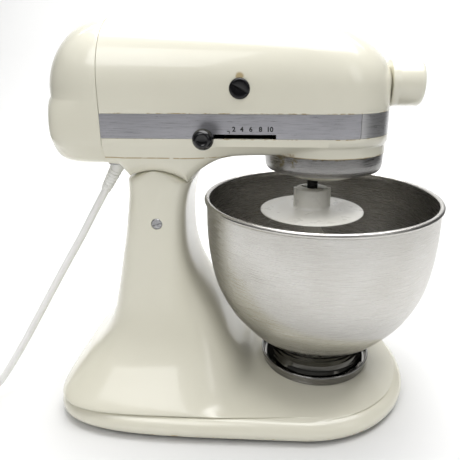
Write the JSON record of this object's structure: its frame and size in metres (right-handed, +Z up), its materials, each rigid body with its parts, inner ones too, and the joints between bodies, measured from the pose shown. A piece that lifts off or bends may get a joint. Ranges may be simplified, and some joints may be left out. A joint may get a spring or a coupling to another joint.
{
  "type": "stand mixer",
  "caption": "Tilting-head stand mixer: worm-driven planetary beater with dough hook, turn-lock steel bowl, hub for attachments and a mains lead.",
  "frame": {"origin": "on the counter, at the middle of the footprint's length and width, lead left out", "axes": "+X to the front along the motor's axis, +Y to the side away from the speed lever, +Z up"},
  "size_m": [0.4974, 0.2885, 0.3544],
  "materials": {
    "cream_paint": "baked gloss enamel, slightly yellowed",
    "band_metal": "brushed along the band",
    "ring_metal": "brushed round the ring",
    "bowl_steel": "brushed stainless sheet",
    "foot_chrome": "dark bright plating",
    "clamp_chrome": "bright plating",
    "steel": "turned steel",
    "cast_lug": "machined casting",
    "bronze": "sintered bronze",
    "copper": "varnished winding",
    "black_plastic": "glossy",
    "black_steel": "blackened",
    "fan_plastic": "moulded",
    "hook_plastic": "satin white coating",
    "board": "laminate",
    "cord_white": "flexible vinyl",
    "foot_rubber": "matt"
  },
  "bodies": {
    "stand": {"stand_casting": "cream_paint", "rubber_feet": "foot_rubber", "bowl_clamp_plate": "clamp_chrome", "clamp_plate_screws": "steel", "hinge_pin": "steel", "power_cord": "cord_white", "cord_coil": "cord_white", "cord_ties": "black_plastic", "power_plug": "cord_white"},
    "bowl": {"mixing_bowl": "bowl_steel", "bowl_foot": "foot_chrome"},
    "head": {"upper_housing": "cream_paint", "lower_housing": "cream_paint", "rear_cover": "cream_paint", "rear_cover_screw": "steel", "hinge_lug": "cast_lug", "speed_band": "band_metal", "side_band": "band_metal", "front_band": "band_metal", "drip_ring": "ring_metal", "hub_boss": "cream_paint", "ring_gear": "steel", "case_bushes": "bronze", "gear_bracket": "steel", "front_motor_frame": "cast_lug", "rear_motor_frame": "cast_lug", "motor_bearings": "steel", "stator_core": "steel", "field_coils": "copper", "brush_holders": "bronze", "carbon_brushes": "fan_plastic", "brush_springs": "steel", "brush_caps": "black_plastic", "control_board": "board", "strain_relief": "cord_white", "cord_clamp": "steel"},
    "motor": {"armature_shaft": "steel", "armature_core": "steel", "commutator": "copper", "cooling_fan": "fan_plastic", "worm": "steel"},
    "worm_gear": {"worm_wheel": "bronze", "worm_wheel_shaft": "steel", "drive_pinion": "steel"},
    "planetary": {"center_shaft": "steel", "center_gear": "steel", "center_bevel_gear": "steel", "planetary_housing": "cream_paint", "planetary_pin": "steel"},
    "hub_drive": {"hub_drive_shaft": "steel", "hub_bevel_gear": "steel"},
    "beater": {"beater_shaft": "black_steel", "beater_pinion": "steel", "dough_hook": "hook_plastic"},
    "speed_control": {"speed_lever": "steel", "speed_knob": "black_plastic"},
    "head_lock": {"lock_lever": "black_plastic"},
    "hub_screw": {"attachment_knob": "black_plastic"}
  },
  "joints": [
    {"name": "head_tilt", "type": "hinge", "parent": "stand", "child": "head", "pos_m": [-0.07975, 0, 0.18], "axis": [0, -1, 0], "range_deg": [0, 50], "deforming": ["power_cord"]},
    {"name": "bowl_twist", "type": "hinge", "parent": "stand", "child": "bowl", "pos_m": [0.06825, 0, 0.0246], "axis": [0, 0, 1], "range_deg": [0, 30]},
    {"name": "motor_spin", "type": "hinge", "parent": "head", "child": "motor", "pos_m": [-0.03175, 0, 0.298], "axis": [1, 0, 0], "continuous": true},
    {"name": "worm_wheel_spin", "type": "hinge", "parent": "head", "child": "worm_gear", "pos_m": [0.0279, 0.026, 0.298], "axis": [0, 0, 1], "continuous": true},
    {"name": "planetary_spin", "type": "hinge", "parent": "head", "child": "planetary", "pos_m": [0.06825, 0, 0.23], "axis": [0, 0, 1], "continuous": true},
    {"name": "hub_spin", "type": "hinge", "parent": "head", "child": "hub_drive", "pos_m": [0.10825, 0, 0.2988], "axis": [1, 0, 0], "continuous": true},
    {"name": "beater_spin", "type": "hinge", "parent": "planetary", "child": "beater", "pos_m": [0.05821, -0.01671, 0.2], "axis": [0, 0, 1], "continuous": true},
    {"name": "speed_slide", "type": "slide", "parent": "head", "child": "speed_control", "axis": [1, 0, 0], "range_m": [0, 0.05]},
    {"name": "lock_turn", "type": "hinge", "parent": "head", "child": "head_lock", "pos_m": [-0.03175, 0.055, 0.246], "axis": [0, 1, 0], "range_deg": [0, 60]},
    {"name": "hub_screw_turn", "type": "hinge", "parent": "head", "child": "hub_screw", "pos_m": [0.13875, 0.025, 0.2988], "axis": [0, 1, 0], "range_deg": [0, 720]}
  ],
  "couplings": [
    {"joint": "worm_wheel_spin", "follows": "motor_spin", "ratio": 0.041667},
    {"joint": "planetary_spin", "follows": "motor_spin", "ratio": -0.011667},
    {"joint": "hub_spin", "follows": "motor_spin", "ratio": -0.011667},
    {"joint": "beater_spin", "follows": "motor_spin", "ratio": 0.033333}
  ]
}
